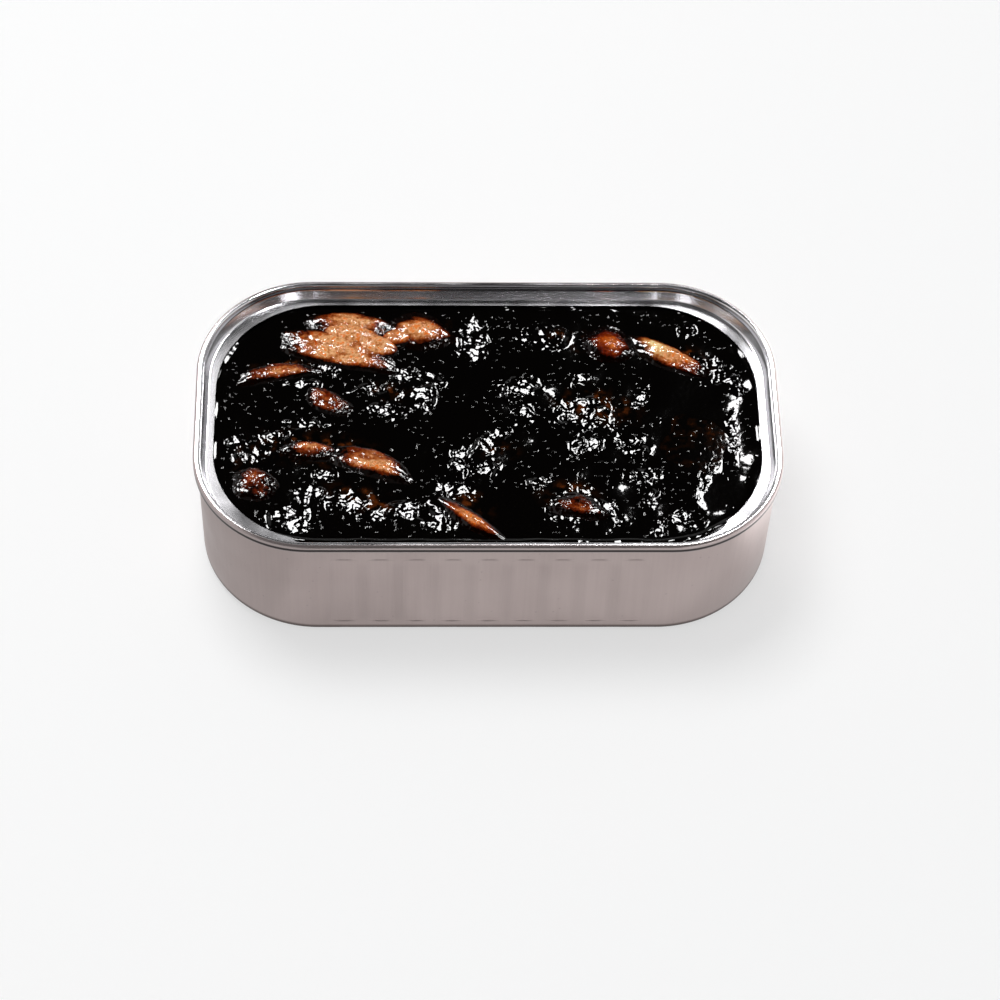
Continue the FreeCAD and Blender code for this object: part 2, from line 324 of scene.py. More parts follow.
# %% World
world = bpy.data.worlds.new("studio")
bpy.context.scene.world = world
world.use_nodes = True
room = world.node_tree
room.nodes.clear()
fill = add_node(room, "ShaderNodeBackground", Color=(0.98, 0.99, 1.0, 1.0), Strength=0.42)
white = add_node(room, "ShaderNodeBackground", Color=(1.0, 1.0, 1.0, 1.0), Strength=1.0)
output = room.nodes.new("ShaderNodeOutputWorld")
join_shaders(room, seen_directly(room), fill, white, output)

bpy.context.scene.view_settings.view_transform = "Standard"
print("room: white to look at, a fill of", round(fill.inputs["Strength"].default_value, 2))

# %% [markdown]
# ## Satin aluminium
# The cup was drawn up through a die, so very fine upright lines run round its wall, and
# handling has left a few tiny specks. A picture of brushed metal would have to be unwrapped
# round each part. Noise on the object's own places needs no unwrapping: stretched along one
# way it gives lines. The ring wants the same effect, so it is a node group that both use.

# %% Drawn metal
nowhere = (0.0, 0.0, 0.0)


def new_group(name, inputs, outputs):
    """An empty shader node group: its inputs with their defaults, and its output values."""
    group = bpy.data.node_groups.new(name, "ShaderNodeTree")
    for socket, default in inputs.items():
        kind = "NodeSocketVector" if isinstance(default, tuple) else "NodeSocketFloat"
        group.interface.new_socket(socket, in_out="INPUT", socket_type=kind).default_value = default
    for socket in outputs:
        group.interface.new_socket(socket, in_out="OUTPUT", socket_type="NodeSocketFloat")
    return group, group.nodes.new("NodeGroupInput"), group.nodes.new("NodeGroupOutput")


def put_group(tree, group, **sources):
    """A node group placed in a tree, with what its inputs read."""
    node = tree.nodes.new("ShaderNodeGroup")
    node.node_tree = group
    for socket, source in sources.items():
        tree.links.new(source, node.inputs[socket])
    return node


def drawn_metal_group():
    """Streaks along one way, broad cloudiness and small specks, on a place in metres."""
    group, entry, leave = new_group(
        "drawn_metal", {"Place": nowhere, "Streak Stretch": (1.0, 1.0, 0.02)},
        ["Streaks", "Clouds", "Specks"])
    stretch = add_node(group, "ShaderNodeVectorMath", {"operation": "MULTIPLY"})
    streaks = add_node(group, "ShaderNodeTexNoise", Scale=1800.0, Detail=4.0, Roughness=0.65)
    clouds = add_node(group, "ShaderNodeTexNoise", Scale=90.0, Detail=3.0, Roughness=0.5)
    cells = add_node(group, "ShaderNodeTexVoronoi", Scale=420.0)
    specks = ramp(group, cells.outputs["Distance"], [(0.0, 1.0), (0.10, 0.0)])
    link = group.links.new
    link(entry.outputs["Place"], stretch.inputs[0])
    link(entry.outputs["Streak Stretch"], stretch.inputs[1])
    link(stretch.outputs[0], streaks.inputs["Vector"])
    link(entry.outputs["Place"], clouds.inputs["Vector"])
    link(entry.outputs["Place"], cells.inputs["Vector"])
    link(streaks.outputs["Fac"], leave.inputs["Streaks"])
    link(clouds.outputs["Fac"], leave.inputs["Clouds"])
    link(specks, leave.inputs["Specks"])
    return group


drawn_metal = drawn_metal_group()
print("node group:", drawn_metal.name)


# %% [markdown]
# ## The two metals
# Cup and ring are the same aluminium. The cup is dull from the die, with its lines upright;
# the ring is brighter from the rollers, with its lines along the sides. One function makes
# both, so that they stay alike in everything that isn't a number.

# %% Metal finish
def add_bump(tree, shader, height, strength, depth):
    """Let a height tilt the surface that a shader sees."""
    bump = add_node(tree, "ShaderNodeBump", Strength=strength, Distance=depth)
    tree.links.new(height, bump.inputs["Height"])
    tree.links.new(bump.outputs[0], shader.inputs["Normal"])


def metal_finish(name, colour, roughness, streak_stretch, streak_bump, speck_share):
    """Aluminium with fine lines along one way, slight clouds and a few specks."""
    finish, tree, shader, place = solid_finish(name)
    shader.inputs["Metallic"].default_value = 1.0
    lines = put_group(tree, drawn_metal, Place=place.outputs["Object"])
    lines.inputs["Streak Stretch"].default_value = streak_stretch
    darker = tuple(0.95 * part for part in colour)
    tone = ramp(tree, lines.outputs["Streaks"], [(0.30, darker), (0.70, colour)])
    specks = calculate(tree, "MULTIPLY", lines.outputs["Specks"], speck_share)
    gloss = add_node(tree, "ShaderNodeMapRange", From_Min=0.3, From_Max=0.7,
                     To_Min=roughness - cloudiness, To_Max=roughness + cloudiness)
    link = tree.links.new
    link(lines.outputs["Clouds"], gloss.inputs["Value"])
    link(mix(tree, specks, tone, speck_colour), shader.inputs["Base Color"])
    link(gloss.outputs[0], shader.inputs["Roughness"])
    add_bump(tree, shader, lines.outputs["Streaks"], streak_bump, streak_depth)
    return finish


speck_colour = (0.16, 0.15, 0.15)
cloudiness = 0.06                   # how far the roughness wanders
streak_depth = 0.04 * mm
cup_tone, rim_tone = (0.450, 0.374, 0.361), (0.68, 0.67, 0.69)
cup_metal = metal_finish("drawn_aluminium", cup_tone, 0.38, (1.0, 1.0, 0.02), 0.08, 0.4)
rim_metal = metal_finish("rolled_aluminium", rim_tone, 0.15, (0.06, 1.0, 1.0), 0.10, 0.3)
print("metal finishes:", cup_metal.name, rim_metal.name)

# %% [markdown]
# ## Painted shading on the wall of the cup
# The flutes are pressed into the long walls and are very shallow, so their shading is painted into the
# colour as well as shaped: each flute is painted a little lighter and the wall between them darker, and a
# short line of painted shade marks each flute's upper end. The foot is painted dark where the wall turns
# under, as painted shade and a painted dark reflection.
# The flutes stand at an even pitch, so a cosine of the place along the wall finds them.

# %% Flute shading
flute_pitch = 6.4 * mm
flute_reach = 30.0 * mm             # half of the fluted stretch
flute_top = 22.3 * mm
dash_reach = 0.6 * mm               # half the height of the dark line at a flute's end
dash_share = 0.4                    # how dark it is beside the foot
# the colour of the painted shade at the flutes' upper ends and along the foot
painted_shade_colour = (0.06, 0.040, 0.034)


def axes(tree, vector):
    """The X, Y and Z of a vector."""
    node = tree.nodes.new("ShaderNodeSeparateXYZ")
    tree.links.new(vector, node.inputs[0])
    return node.outputs


def apart(tree, value, middle, reach):
    """How far a value lies from a middle, as a share of a reach."""
    off = calculate(tree, "ABSOLUTE", calculate(tree, "SUBTRACT", value, middle))
    return calculate(tree, "DIVIDE", off, reach)


def flute_painted_shading_group():
    """Painted shading of the pressed flutes, -1 to 1, and a mask of painted shade at their upper ends and
    the foot.
    """
    group, entry, leave = new_group(
        "flute_painted_shading",
        {"Place": nowhere, "Pitch": flute_pitch, "Reach": flute_reach, "Top": flute_top},
        ["Tone", "Painted Shade"])
    place = axes(group, entry.outputs["Place"])
    turns = calculate(group, "DIVIDE", place["X"], entry.outputs["Pitch"])
    wave = calculate(group, "COSINE", calculate(group, "MULTIPLY", turns, 2 * math.pi))
    beside = calculate(group, "DIVIDE", calculate(group, "ABSOLUTE", place["X"]),
                       entry.outputs["Reach"])
    height = calculate(group, "DIVIDE", place["Z"], entry.outputs["Top"])
    fluted = ramp(group, beside, [(0.90, 1.0), (0.98, 0.0)])
    upright = ramp(group, height, [(0.10, 0.0), (0.22, 1.0), (0.90, 1.0), (0.98, 0.0)])
    inside = calculate(group, "MULTIPLY", fluted, upright)
    # painted shade at the upper end of each flute
    off_top = apart(group, place["Z"], entry.outputs["Top"], dash_reach)
    dash = calculate(group, "MULTIPLY", ramp(group, off_top, [(0.2, 1.0), (0.9, 0.0)]), fluted)
    dash = calculate(group, "MULTIPLY", dash, ramp(group, wave, [(0.0, 0.0), (0.8, 1.0)]))
    dash = calculate(group, "MULTIPLY", dash, dash_share)
    # painted shade and a painted dark reflection along the foot
    foot = ramp(group, height, [(0.070, 0.9), (0.100, 0.0)])
    group.links.new(calculate(group, "MULTIPLY", wave, inside), leave.inputs["Tone"])
    group.links.new(calculate(group, "MAXIMUM", dash, foot), leave.inputs["Painted Shade"])
    return group


def source_of(shader, socket):
    """What feeds one of a shader's sockets so far."""
    return shader.inputs[socket].links[0].from_socket


def add_flute_painted_shading(finish):
    """Paint shading on the wall: the flutes lighter and the wall between them darker, and painted shade at
    their upper ends and the foot.
    """
    tree = finish.node_tree
    shader = tree.nodes["Principled BSDF"]
    place = tree.nodes.new("ShaderNodeTexCoord")
    painted_flutes = put_group(tree, flute_painted_shading_group(), Place=place.outputs["Object"])
    shifted = calculate(tree, "MULTIPLY_ADD", painted_flutes.outputs["Tone"], 0.5, 0.5)
    # painted shading: the flutes a little lighter, the wall between them darker
    band_tone = ramp(tree, shifted, [(0.0, 0.93), (0.5, 1.0), (1.0, 1.0)])
    banded = mix(tree, 1.0, source_of(shader, "Base Color"), band_tone, "MULTIPLY")
    shaded = mix(tree, painted_flutes.outputs["Painted Shade"], banded, painted_shade_colour)
    tree.links.new(shaded, shader.inputs["Base Color"])


add_flute_painted_shading(cup_metal)
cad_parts["tin_body"].material_slots[0].material = cup_metal
print("flutes every", flute_pitch * 1000, "mm on", cup_metal.name)

# %% [markdown]
# ## The two sides of the ring
# The ring is bright where the seam was rolled, but its outer side is as dull as the cup, with a painted line
# of shade under the roll. Two materials would need a cut in the mesh, and the solid's mesh stays as it is,
# so masks choose instead: a normal that points outward is the outer side, and a height on it is the painted
# shade line.

# %% Outer side of the ring
line_height = rim_high.z - 1.3 * mm
line_reach = 0.45 * mm
# the second colour is a painted line of shade under the roll
side_tone, shade_line_colour = (0.44, 0.375, 0.367), (0.03, 0.025, 0.025)


def outer_side_group():
    """Masks of the side that faces outward, and of a painted line of shade at one height on it."""
    group, entry, leave = new_group(
        "outer_side",
        {"Place": nowhere, "Facing": nowhere, "Line Height": line_height, "Line Reach": line_reach},
        ["Outside", "Line"])
    flat = add_node(group, "ShaderNodeVectorMath", {"operation": "MULTIPLY"})
    flat.inputs[1].default_value = (1.0, 1.0, 0.0)
    way = add_node(group, "ShaderNodeVectorMath", {"operation": "NORMALIZE"})
    outward = add_node(group, "ShaderNodeVectorMath", {"operation": "DOT_PRODUCT"})
    link = group.links.new
    link(entry.outputs["Place"], flat.inputs[0])
    link(flat.outputs[0], way.inputs[0])
    link(way.outputs[0], outward.inputs[0])
    link(entry.outputs["Facing"], outward.inputs[1])
    outside = ramp(group, outward.outputs["Value"], [(0.10, 0.0), (0.35, 1.0)])
    off_line = apart(group, axes(group, entry.outputs["Place"])["Z"],
                     entry.outputs["Line Height"], entry.outputs["Line Reach"])
    band = ramp(group, off_line, [(0.45, 1.0), (1.0, 0.0)])
    link(outside, leave.inputs["Outside"])
    link(calculate(group, "MULTIPLY", band, outside), leave.inputs["Line"])
    return group


def change_roughness(tree, shader, mask, roughness):
    """Take a finish to another roughness where a mask is 1."""
    gloss = add_node(tree, "ShaderNodeMix")
    gloss.inputs[3].default_value = roughness
    tree.links.new(mask, gloss.inputs[0])
    tree.links.new(source_of(shader, "Roughness"), gloss.inputs[2])
    tree.links.new(gloss.outputs[0], shader.inputs["Roughness"])


def add_outer_side(finish, colour, roughness, dark):
    """Give a finish's outer side another tone and a painted line of shade round it."""
    tree = finish.node_tree
    shader = tree.nodes["Principled BSDF"]
    place = tree.nodes.new("ShaderNodeTexCoord")
    side = put_group(tree, outer_side_group(), Place=place.outputs["Object"],
                     Facing=place.outputs["Normal"])
    tone = mix(tree, side.outputs["Outside"], source_of(shader, "Base Color"), colour)
    # the painted line of shade under the roll
    shade_lined = mix(tree, side.outputs["Line"], tone, dark)
    tree.links.new(shade_lined, shader.inputs["Base Color"])
    change_roughness(tree, shader, side.outputs["Outside"], roughness)


add_outer_side(rim_metal, side_tone, 0.34, shade_line_colour)
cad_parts["end_ring"].material_slots[0].material = rim_metal
print("dark line at %.1f mm on" % (line_height * 1000), rim_metal.name)

# %% [markdown]
# ## The torn ledge
# Inside the ring lies a narrow ledge, all that is left of the panel. The tear has left it
# duller at the two ends of the tin than along the sides, and there it looks white. The
# mask is made of three tests: low enough, facing up, and near an end.

# %% Ledge ends
ledge_limit = rim_low.z + 0.54 * mm     # between the ledge's top and the bend above it
ledge_span = 100.0 * mm                 # the length that one whole ramp stands for
ends_from, ends_to = 46.5 * mm, 49.7 * mm


def ledge_ends_group():
    """A mask of the low ledge that faces up, at the two ends of the tin."""
    group, entry, leave = new_group(
        "ledge_ends", {"Place": nowhere, "Facing": nowhere, "Ledge Height": ledge_limit}, ["Mask"])
    place = axes(group, entry.outputs["Place"])
    upward = ramp(group, axes(group, entry.outputs["Facing"])["Z"], [(0.75, 0.0), (0.95, 1.0)])
    low = calculate(group, "LESS_THAN", place["Z"], entry.outputs["Ledge Height"])
    along = calculate(group, "DIVIDE", calculate(group, "ABSOLUTE", place["X"]), ledge_span)
    ends = ramp(group, along, [(ends_from / ledge_span, 0.0), (ends_to / ledge_span, 1.0)])
    both = calculate(group, "MULTIPLY", low, upward)
    group.links.new(calculate(group, "MULTIPLY", both, ends), leave.inputs["Mask"])
    return group


def roughen_ledge(finish, roughness):
    """Make a finish rougher on the ledge at the two ends, where the panel was torn off."""
    tree = finish.node_tree
    place = tree.nodes.new("ShaderNodeTexCoord")
    ledge = put_group(tree, ledge_ends_group(), Place=place.outputs["Object"],
                      Facing=place.outputs["Normal"])
    change_roughness(tree, tree.nodes["Principled BSDF"], ledge.outputs["Mask"], roughness)


roughen_ledge(rim_metal, 0.22)
print("rough ledge from %.1f mm out" % (ends_from * 1000))

# %% [markdown]
# ## The wet black sauce
# Ink sauce is opaque, nearly black, and covered by a film of oil. Its colour hardly
# matters; its gloss does. A fine grain under the gloss breaks the lamps' reflections up,
# and sparse beads do so in between. The grain, the beads and the brown of a thin film
# belong to some places only, which no noise could know, so they are values written into
# the mesh.

# %% Ink finish
def clouds(tree, place, **details):
    """Noise on the object's own places."""
    node = add_node(tree, "ShaderNodeTexNoise", **details)
    tree.links.new(place.outputs["Object"], node.inputs["Vector"])
    return node.outputs["Fac"]


def written(tree, name):
    """A value that is written into the mesh."""
    return add_node(tree, "ShaderNodeAttribute", {"attribute_name": name}).outputs["Fac"]


grain_depth = 0.16 * mm             # depth of the grain on the sauce and on the flesh
bead_height = 0.5                   # beside the grain


def ink_finish():
    """Black liquid with an oily gloss, grainy, beaded and brown where its mesh says so."""
    finish, tree, shader, place = solid_finish("ink")
    shader.inputs["Roughness"].default_value = 0.05
    shader.inputs["IOR"].default_value = 1.25
    patchy = ramp(tree, clouds(tree, place, Scale=520.0, Detail=3.0), [(0.48, 0.0), (0.70, 1.0)])
    brown = calculate(tree, "MULTIPLY", patchy, written(tree, "thin_film"))
    tone = ramp(tree, brown, [(0.0, (0.0012, 0.0009, 0.0008)), (0.40, (0.008, 0.0028, 0.0010)),
                              (1.0, (0.090, 0.020, 0.0035))])
    grain = clouds(tree, place, Scale=1200.0, Detail=0.3)
    grain = calculate(tree, "MULTIPLY", grain, written(tree, "graininess"))
    beads = clouds(tree, place, Scale=1300.0, Detail=0.0)
    beads = ramp(tree, beads, [(0.70, 0.0), (0.86, 1.0)], "EASE")
    beads = calculate(tree, "MULTIPLY", beads, written(tree, "beads"))
    tree.links.new(tone, shader.inputs["Base Color"])
    add_bump(tree, shader, calculate(tree, "MULTIPLY_ADD", beads, bead_height, grain), 1.0, grain_depth)
    return finish


ink = ink_finish()
print("finish:", ink.name)

# %% [markdown]
# ## Working by hand, in code
# An operator works on everything that is selected, so each step first lets go of all and
# then picks one object. A modifier is only a promise until it is applied.

# %% Helpers for picking
def pick_only(piece):
    """Make one object the only selected one, in object mode."""
    if bpy.context.mode != "OBJECT":
        bpy.ops.object.mode_set(mode="OBJECT")
    bpy.ops.object.select_all(action="DESELECT")
    piece.select_set(True)
    bpy.context.view_layer.objects.active = piece


def apply_all(piece):
    """Apply a piece's modifiers from the top down."""
    pick_only(piece)
    for name in [modifier.name for modifier in piece.modifiers]:
        bpy.ops.object.modifier_apply(modifier=name)


def triangles(piece):
    """How many triangles a piece has."""
    return sum(len(face.vertices) - 2 for face in piece.data.polygons)


# %% [markdown]
# ## The sheet of sauce
# The top of the sauce could be one plane with a bump in its material, but its lumps are
# as high as the gaps under the rim, and they hide each other. So it is real relief: a
# fine grid, cut to the inside of the cup, raised by soft lumps and then roughened.

# %% Sauce sheet
ink_grid = 0.30 * mm
wall_gap = 0.03 * mm                # between the sauce and the wall of the cup
wall_tighter = 1.0 * mm             # how much smaller the corner radius is inside the cup
slab_depth = 1.5 * mm
cutter_reach = 5.0 * mm             # how far the cutter stands over and under the sheet
sauce_x, sauce_y = sauce_high.x - wall_gap, sauce_high.y - wall_gap


def rounded_slab(name, half_x, half_y, corner, low, high, steps=16):
    """A slab on a rounded rectangle: a plane with bevelled corners, extruded."""
    bpy.ops.object.select_all(action="DESELECT")
    bpy.ops.mesh.primitive_plane_add(size=2.0, location=(0.0, 0.0, low))
    slab = bpy.context.object
    slab.name = name
    bpy.ops.object.mode_set(mode="EDIT")
    bpy.ops.mesh.select_all(action="SELECT")
    bpy.ops.transform.resize(value=(half_x, half_y, 1.0), center_override=(0.0, 0.0, low))
    bpy.ops.mesh.bevel(offset=corner, segments=steps, affect="VERTICES")
    bpy.ops.mesh.extrude_region_move(TRANSFORM_OT_translate={"value": (0.0, 0.0, high - low)})
    bpy.ops.mesh.select_all(action="SELECT")
    bpy.ops.mesh.normals_make_consistent(inside=False)
    bpy.ops.object.mode_set(mode="OBJECT")
    bpy.ops.object.transform_apply(location=True, rotation=True, scale=True)
    return slab


def sauce_block():
    """The sauce as a block: a fine grid on top, plain sides and bottom."""
    bpy.ops.object.select_all(action="DESELECT")
    over = 2 * ink_grid
    bpy.ops.mesh.primitive_grid_add(x_subdivisions=round(2 * (sauce_x + over) / ink_grid),
                                    y_subdivisions=round(2 * (sauce_y + over) / ink_grid),
                                    size=2.0, location=(0.0, 0.0, ink_level))
    block = bpy.context.object
    block.name = "ink_surface"
    bpy.ops.object.mode_set(mode="EDIT")
    bpy.ops.mesh.select_all(action="SELECT")
    bpy.ops.transform.resize(value=(sauce_x + over, sauce_y + over, 1.0),
                             center_override=(0.0, 0.0, ink_level))
    bpy.ops.mesh.select_all(action="DESELECT")
    bpy.ops.mesh.select_non_manifold(extend=False, use_wire=False, use_boundary=True,
                                     use_multi_face=False, use_non_contiguous=False,
                                     use_verts=False)
    bpy.ops.mesh.extrude_edges_move(TRANSFORM_OT_translate={"value": (0.0, 0.0, -slab_depth)})
    bpy.ops.mesh.edge_face_add()
    bpy.ops.mesh.select_all(action="SELECT")
    bpy.ops.mesh.normals_make_consistent(inside=False)
    bpy.ops.object.mode_set(mode="OBJECT")
    bpy.ops.object.transform_apply(location=True, rotation=True, scale=True)
    cutter = rounded_slab("cutter", sauce_x, sauce_y, rim_corner - wall_tighter,
                          ink_level - cutter_reach, ink_level + cutter_reach)
    pick_only(block)
    cut = block.modifiers.new("cut", "BOOLEAN")
    cut.operation = "INTERSECT"
    cut.object = cutter
    apply_all(block)
    bpy.data.objects.remove(cutter)
    return block


sauce = sauce_block()
print("sauce block:", triangles(sauce), "triangles")

# %% [markdown]
# ## Where the sauce is lumpy
# Bits of squid and clotted sauce lie just under the skin of the sauce and lift it in knobbly patches, with
# still black pools between. Sculpting them would leave no trace of what was meant, so each patch is a listed
# oval, and can be moved or left out.

# %% Lumps and pools
# x, y, length, width in mm, heading in degrees, height in mm
lumps = [
    (-2.5, 18.5, 9.5, 4.6, 85, 0.8), (-30.0, 12.3, 6.0, 2.6, -5, 0.7), (-41.5, 11.0, 3.2, 2.4, 60, 0.5),
    (-33.5, 8.9, 6.0, 1.8, 0, 0.4), (-15.0, 10.8, 5.0, 2.8, 10, 0.7), (-10.0, 9.6, 4.6, 3.6, -35, 0.7),
    (-21.0, 7.5, 6.6, 2.0, 5, 0.6), (-12.5, 5.6, 6.5, 5.0, 20, 0.9), (-18.0, 2.5, 7.0, 3.0, -10, 0.7),
    (-32.8, -0.6, 6.6, 1.7, 0, 0.5), (-38.4, -3.0, 4.6, 2.6, 20, 0.6), (-45.0, -4.6, 3.6, 2.4, -10, 0.6),
    (-42.4, -7.2, 5.0, 4.4, 30, 0.7), (-29.3, -11.5, 3.6, 2.8, 20, 0.7), (-35.5, -21.6, 7.6, 6.6, -30, 1.0),
    (-31.5, -16.0, 5.0, 4.6, 40, 0.8), (-25.0, -17.2, 6.8, 5.6, -30, 0.9), (-19.5, -20.0, 5.6, 4.4, 10, 0.8),
    (-14.0, -19.6, 6.4, 4.4, -10, 0.7), (-9.5, -21.0, 7.6, 5.0, -60, 0.9), (-5.0, -7.9, 5.8, 3.2, 70, 0.9),
    (-1.5, -10.8, 5.2, 3.6, 20, 0.9), (0.6, -4.2, 8.2, 3.0, 42, 0.8), (-7.5, -14.6, 4.2, 2.8, -50, 0.8),
    (-4.4, -15.4, 3.8, 3.4, -30, 0.7), (10.8, 19.4, 8.2, 5.4, 5, 0.8), (6.2, 8.2, 6.4, 5.0, 25, 0.9),
    (6.4, 1.6, 4.8, 2.8, 80, 0.7), (17.0, 9.0, 3.6, 2.2, 70, 0.6), (17.0, 2.1, 8.6, 7.4, 30, 1.0),
    (22.0, -0.6, 3.4, 2.4, 0, 0.5), (18.8, -5.1, 4.0, 2.6, 60, 0.7), (15.4, -5.8, 3.4, 1.8, 60, 0.6),
    (26.0, -5.1, 6.0, 4.0, -45, 0.8), (28.6, -11.7, 4.6, 3.4, 20, 0.7), (25.0, -11.8, 2.4, 1.4, 70, 0.4),
    (28.0, 6.0, 4.2, 1.6, 60, 0.5), (37.2, 21.3, 3.2, 2.0, 20, 0.5), (41.4, 13.0, 5.0, 2.6, -50, 0.8),
    (44.2, 9.6, 6.0, 3.4, -55, 0.8), (44.2, -4.2, 10.0, 1.2, 90, 0.4), (38.8, -11.7, 9.0, 1.2, 70, 0.5),
    (33.5, -21.2, 4.6, 3.6, 40, 0.7), (36.6, -23.2, 2.8, 2.0, 10, 0.4), (29.8, -23.8, 3.0, 1.6, -50, 0.4),
    (14.0, -19.6, 6.6, 5.4, 0, 0.8), (21.4, -20.0, 6.4, 1.8, -50, 0.5), (28.5, -17.0, 3.6, 1.6, 80, 0.4),
    (9.0, -13.1, 4.0, 1.8, 20, 0.4), (12.9, -16.6, 4.0, 1.4, 75, 0.5), (17.7, -15.4, 2.6, 2.2, 0, 0.4),
]
# x, y, length, width in mm, heading in degrees
pools = [
    (3.0, -20.5, 17.0, 13.0, -10), (42.6, -15.5, 9.0, 8.0, 0), (37.0, -2.0, 16.0, 18.0, -30),
    (-41.0, 17.5, 14.0, 9.0, 35), (-5.0, 0.5, 10.0, 8.0, 0), (-19.0, -3.5, 15.0, 6.0, -8),
    (34.0, 7.0, 17.0, 10.0, -15), (39.5, -16.5, 5.0, 7.0, 0), (-2.0, 12.0, 8.0, 12.0, 10),
    (30.0, 20.0, 22.0, 6.0, -8), (-20.0, 23.0, 40.0, 3.0, 0), (8.0, 14.5, 10.0, 4.0, 0),
]
# where the film of sauce is thin and looks brown, given as the pools are
films = [
    (-36.0, 13.0, 16.0, 3.5, 5), (-31.0, -6.0, 26.0, 9.0, -8), (-43.0, -7.5, 8.0, 6.0, 40),
    (-10.0, 22.5, 12.0, 3.0, 0), (20.0, 4.0, 18.0, 9.0, -15), (2.0, -6.5, 8.0, 5.0, 0),
    (16.0, 19.0, 12.0, 6.0, -10), (38.0, 15.0, 9.0, 5.0, -40), (-22.0, -17.0, 16.0, 6.0, -20),
    (14.0, -16.0, 12.0, 7.0, 0), (-3.0, -19.0, 9.0, 8.0, -50), (-18.0, 7.0, 10.0, 5.0, 0),
]


def oval(where, x, y, length, width, heading):
    """How far places lie from the middle of an oval, as a share: 1 is on its edge."""
    turn = math.radians(heading)
    east, north = where[:, 0] - x * mm, where[:, 1] - y * mm
    ahead = (east * math.cos(turn) + north * math.sin(turn)) / (length * mm / 2)
    aside = (north * math.cos(turn) - east * math.sin(turn)) / (width * mm / 2)
    return np.hypot(ahead, aside)


def fade(share, inner, outer):
    """1 up to inner, 0 past outer, with a smooth step between."""
    step = np.clip((outer - share) / (outer - inner), 0.0, 1.0)
    return step * step * (3 - 2 * step)


def to_opening(where):
    """How far places lie inside the torn opening's edge, in metres."""
    past_x = np.abs(where[:, 0]) - (opening_x - opening_corner)
    past_y = np.abs(where[:, 1]) - (opening_y - opening_corner)
    corner = np.hypot(np.maximum(past_x, 0.0), np.maximum(past_y, 0.0))
    return opening_corner - corner - np.minimum(np.maximum(past_x, past_y), 0.0)


print(len(lumps), "lumps,", len(pools), "pools and", len(films), "thin films")

# %% [markdown]
# ## Where the squid stands out
# The sauce mustn't be raised where a piece of squid comes through it. The solids tell
# where: a ray is dropped on them from above at every place of the sheet.

# %% The squid's own heights
squid_names = sorted(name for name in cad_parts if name.startswith("squid_"))


def squid_tree():
    """A search tree over all the squid solids."""
    corners, faces = [], []
    for name in squid_names:
        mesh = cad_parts[name].data
        first = len(corners)
        corners += [vertex.co.copy() for vertex in mesh.vertices]
        faces += [[first + index for index in face.vertices] for face in mesh.polygons]
    return BVHTree.FromPolygons(corners, faces)


def squid_tops(where):
    """Height of the squid over the still sauce at each place, 0 where there is none."""
    tree = squid_tree()
    found = np.zeros(len(where))
    for index, (x, y) in enumerate(where[:, :2]):
        hit = tree.ray_cast(Vector((x, y, 0.1)), Vector((0.0, 0.0, -1.0)))[0]
        if hit:
            found[index] = max(hit.z - ink_level, 0.0)
    return found


# %% [markdown]
# ## From ovals to shares
# A height may only change where it should: not at the edge of the opening, less in a pool,
# and not under a piece of squid. Each of these is a share from 0 to 1 for every vertex of
# the top, and the shares are multiplied. Brush strokes would do the same by eye.

# %% Shares over the top
def places(piece):
    """The vertices of a piece as an array."""
    found = np.empty(len(piece.data.vertices) * 3)
    piece.data.vertices.foreach_get("co", found)
    return found.reshape(-1, 3)


def set_places(piece, where):
    """Move the vertices of a piece to new places."""
    piece.data.vertices.foreach_set("co", where.ravel())
    piece.data.update()


where = places(sauce)
top = np.nonzero(where[:, 2] > ink_level - 0.01 * mm)[0]
surface = where[top]
edge_room = to_opening(surface)
inland = 1.0 - fade(edge_room, 0.2 * mm, 2.5 * mm)     # 0 at the torn edge
off_squid = fade(squid_tops(surface), 0.05 * mm, 0.9 * mm)
stirred = np.ones(len(top))         # 0 in a still pool, 1 away from all of them
for pool in pools:
    stirred *= 1.0 - fade(oval(surface, *pool), 0.55, 1.15)
print(len(top), "vertices on top, %d%% of them in pools" % (100 * np.mean(stirred < 0.5)))

# %% [markdown]
# ## Lumps that lean
# A lump mirrors a lamp only where it is tipped the right way, so each one leans to one
# side, by turns left and right, and swells a little. Its outline is frayed by a noise,
# because a plain oval would show as a bright ring. Near the edge and the squid it stays flat.

# %% Lean the lumps
lean = 0.19                         # slope of a lump's top
most_lean = 0.55 * mm               # the most that leaning lifts or sinks
swell = 0.05                        # share of its height by which a lump rises as a whole
fray_grain, fray_reach = 1.8 * mm, 1.1 * mm
fray_seed = 3                       # or the frayed outlines would differ from run to run

noise.seed_set(fray_seed)
frayed = surface.copy()
for index, (x, y) in enumerate(surface[:, :2]):
    shift = noise.noise_vector(Vector((x, y, 0.0)) / fray_grain)
    frayed[index, :2] += (fray_reach * shift.x, fray_reach * shift.y)
knobbly, leaning, grainy, total = np.zeros((4, len(top)))
for number, (*place, height) in enumerate(lumps):
    share = oval(frayed, *place)
    weight = fade(share, 0.60, 1.30)
    side = 1 if number % 2 else -1
    knobbly = np.maximum(knobbly, weight)
    grainy = np.maximum(grainy, fade(share, 0.75, 1.75))
    leaning += weight * (side * lean * (surface[:, 0] - place[0] * mm) + swell * height * mm)
    total += weight
leaning = np.clip(leaning / np.maximum(total, 1.0), -most_lean, most_lean)
knobbly = np.maximum(knobbly * (0.35 + 0.65 * stirred), 0.08 * stirred)
surface[:, 2] += leaning * inland * off_squid
print("lumps lean by up to %.2f mm" % (1000 * np.abs(leaning).max()))

# %% [markdown]
# ## The edge of the sauce
# Thick sauce clings to the ledge, unevenly and more at the right end, and along the near
# side it creeps up in a low lip that hides the torn edge. Both die away within a
# millimetre, far too narrow for a brush, so they follow from the distance to the edge.

